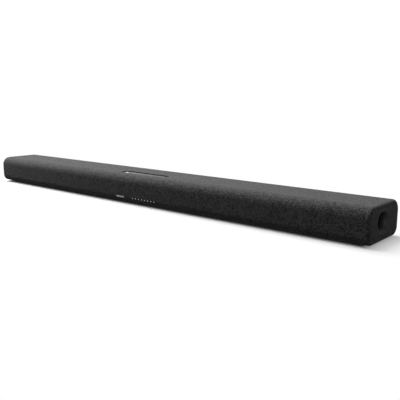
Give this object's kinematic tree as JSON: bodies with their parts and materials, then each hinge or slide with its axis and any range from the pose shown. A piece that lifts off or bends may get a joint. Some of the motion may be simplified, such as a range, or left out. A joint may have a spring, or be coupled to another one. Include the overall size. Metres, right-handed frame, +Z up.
{
  "type": "soundbar",
  "caption": "Slim soundbar: fabric-covered bar with a sunk touch panel, oval bass ports in both ends, small feet, inner drivers, boards and sockets.",
  "frame": {"origin": "middle of the bar's footprint, on the surface that its feet stand on", "axes": "+X along the bar to its right end as seen from the front, -Y to the front, +Z up"},
  "size_m": [1.015, 0.112, 0.063],
  "materials": {
    "cover_fabric": "charcoal knitted polyester over the grille, matt",
    "grille_plastic": "black ABS, fine matt texture",
    "shell_plastic": "black ABS, spark-eroded matt texture",
    "foot_rubber": "soft black rubber",
    "plate_steel": "zinc-plated steel",
    "panel_gloss": "satin to gloss black plastic",
    "badge_metal": "brushed aluminium, blank",
    "light_plastic": "milky translucent plastic",
    "board_green": "green solder mask on glass-fibre board",
    "chip_black": "black moulded epoxy",
    "sink_aluminium": "extruded aluminium, as cut",
    "socket_plastic": "black nylon",
    "pin_brass": "nickel-plated brass",
    "basket_metal": "black painted pressed steel",
    "magnet_iron": "ferrite ring with zinc-plated plates",
    "surround_rubber": "butyl rubber and foam",
    "spider_cloth": "resin-stiffened woven cotton",
    "cone_paper": "coated paper pulp",
    "cable_jacket": "black PVC jacket"
  },
  "bodies": {
    "root": {"fabric_cover": "cover_fabric", "grille_frame": "grille_plastic", "end_cap_left": "grille_plastic", "end_cap_right": "grille_plastic", "port_tube_left": "grille_plastic", "port_tube_right": "grille_plastic", "bottom_shell": "shell_plastic", "rubber_feet": "foot_rubber", "keyhole_plates": "plate_steel", "case_screws": "plate_steel", "speaker_baffle": "shell_plastic", "panel_frame": "panel_gloss", "control_panel": "panel_gloss", "touch_board": "board_green", "front_badge": "badge_metal", "light_guide": "light_plastic", "indicator_board": "board_green", "main_board": "board_green", "power_board": "board_green", "board_screws": "plate_steel", "board_components": "chip_black", "heat_sink": "sink_aluminium", "power_transformer": "chip_black", "power_capacitors": "chip_black", "hdmi_socket": "socket_plastic", "usb_socket": "socket_plastic", "optical_socket": "socket_plastic", "mains_inlet": "socket_plastic", "inlet_pins": "pin_brass", "front_baskets": "basket_metal", "front_magnets": "magnet_iron", "front_surrounds": "surround_rubber", "front_spiders": "spider_cloth", "woofer_baskets": "basket_metal", "woofer_magnets": "magnet_iron", "woofer_surrounds": "surround_rubber", "woofer_spiders": "spider_cloth", "height_baskets": "basket_metal", "height_magnets": "magnet_iron", "height_surrounds": "surround_rubber", "height_spiders": "spider_cloth", "driver_gaskets": "surround_rubber", "driver_screws": "plate_steel", "antenna_left": "board_green", "antenna_right": "board_green", "touch_ribbon": "cable_jacket", "indicator_ribbon": "cable_jacket", "power_lead": "cable_jacket", "speaker_wires": "cable_jacket"},
    "front_cone_1": {"front_cone_1": "cone_paper"},
    "front_cone_2": {"front_cone_2": "cone_paper"},
    "front_cone_3": {"front_cone_3": "cone_paper"},
    "front_cone_4": {"front_cone_4": "cone_paper"},
    "woofer_cone_left": {"woofer_cone_left": "cone_paper"},
    "woofer_cone_right": {"woofer_cone_right": "cone_paper"},
    "height_cone_left": {"height_cone_left": "cone_paper"},
    "height_cone_right": {"height_cone_right": "cone_paper"},
    "optical_shutter": {"optical_shutter": "socket_plastic"}
  },
  "joints": [
    {"name": "front_cone_1_travel", "type": "slide", "parent": "root", "child": "front_cone_1", "axis": [0, -1, 0], "range_m": [-0.002, 0.002], "stiffness_N_per_m": 900},
    {"name": "front_cone_2_travel", "type": "slide", "parent": "root", "child": "front_cone_2", "axis": [0, -1, 0], "range_m": [-0.002, 0.002], "stiffness_N_per_m": 900},
    {"name": "front_cone_3_travel", "type": "slide", "parent": "root", "child": "front_cone_3", "axis": [0, -1, 0], "range_m": [-0.002, 0.002], "stiffness_N_per_m": 900},
    {"name": "front_cone_4_travel", "type": "slide", "parent": "root", "child": "front_cone_4", "axis": [0, -1, 0], "range_m": [-0.002, 0.002], "stiffness_N_per_m": 900},
    {"name": "woofer_cone_left_travel", "type": "slide", "parent": "root", "child": "woofer_cone_left", "axis": [0, 0, 1], "range_m": [-0.0035, 0.0035], "stiffness_N_per_m": 600},
    {"name": "woofer_cone_right_travel", "type": "slide", "parent": "root", "child": "woofer_cone_right", "axis": [0, 0, 1], "range_m": [-0.0035, 0.0035], "stiffness_N_per_m": 600},
    {"name": "height_cone_left_travel", "type": "slide", "parent": "root", "child": "height_cone_left", "axis": [0, -0.2588, 0.9659], "range_m": [-0.002, 0.002], "stiffness_N_per_m": 800},
    {"name": "height_cone_right_travel", "type": "slide", "parent": "root", "child": "height_cone_right", "axis": [0, -0.2588, 0.9659], "range_m": [-0.002, 0.002], "stiffness_N_per_m": 800},
    {"name": "optical_shutter_hinge", "type": "hinge", "parent": "root", "child": "optical_shutter", "pos_m": [-0.045, 0.0331, 0.0221], "axis": [1, 0, 0], "range_deg": [-80, 0], "stiffness_Nm_per_rad": 0.0005}
  ]
}
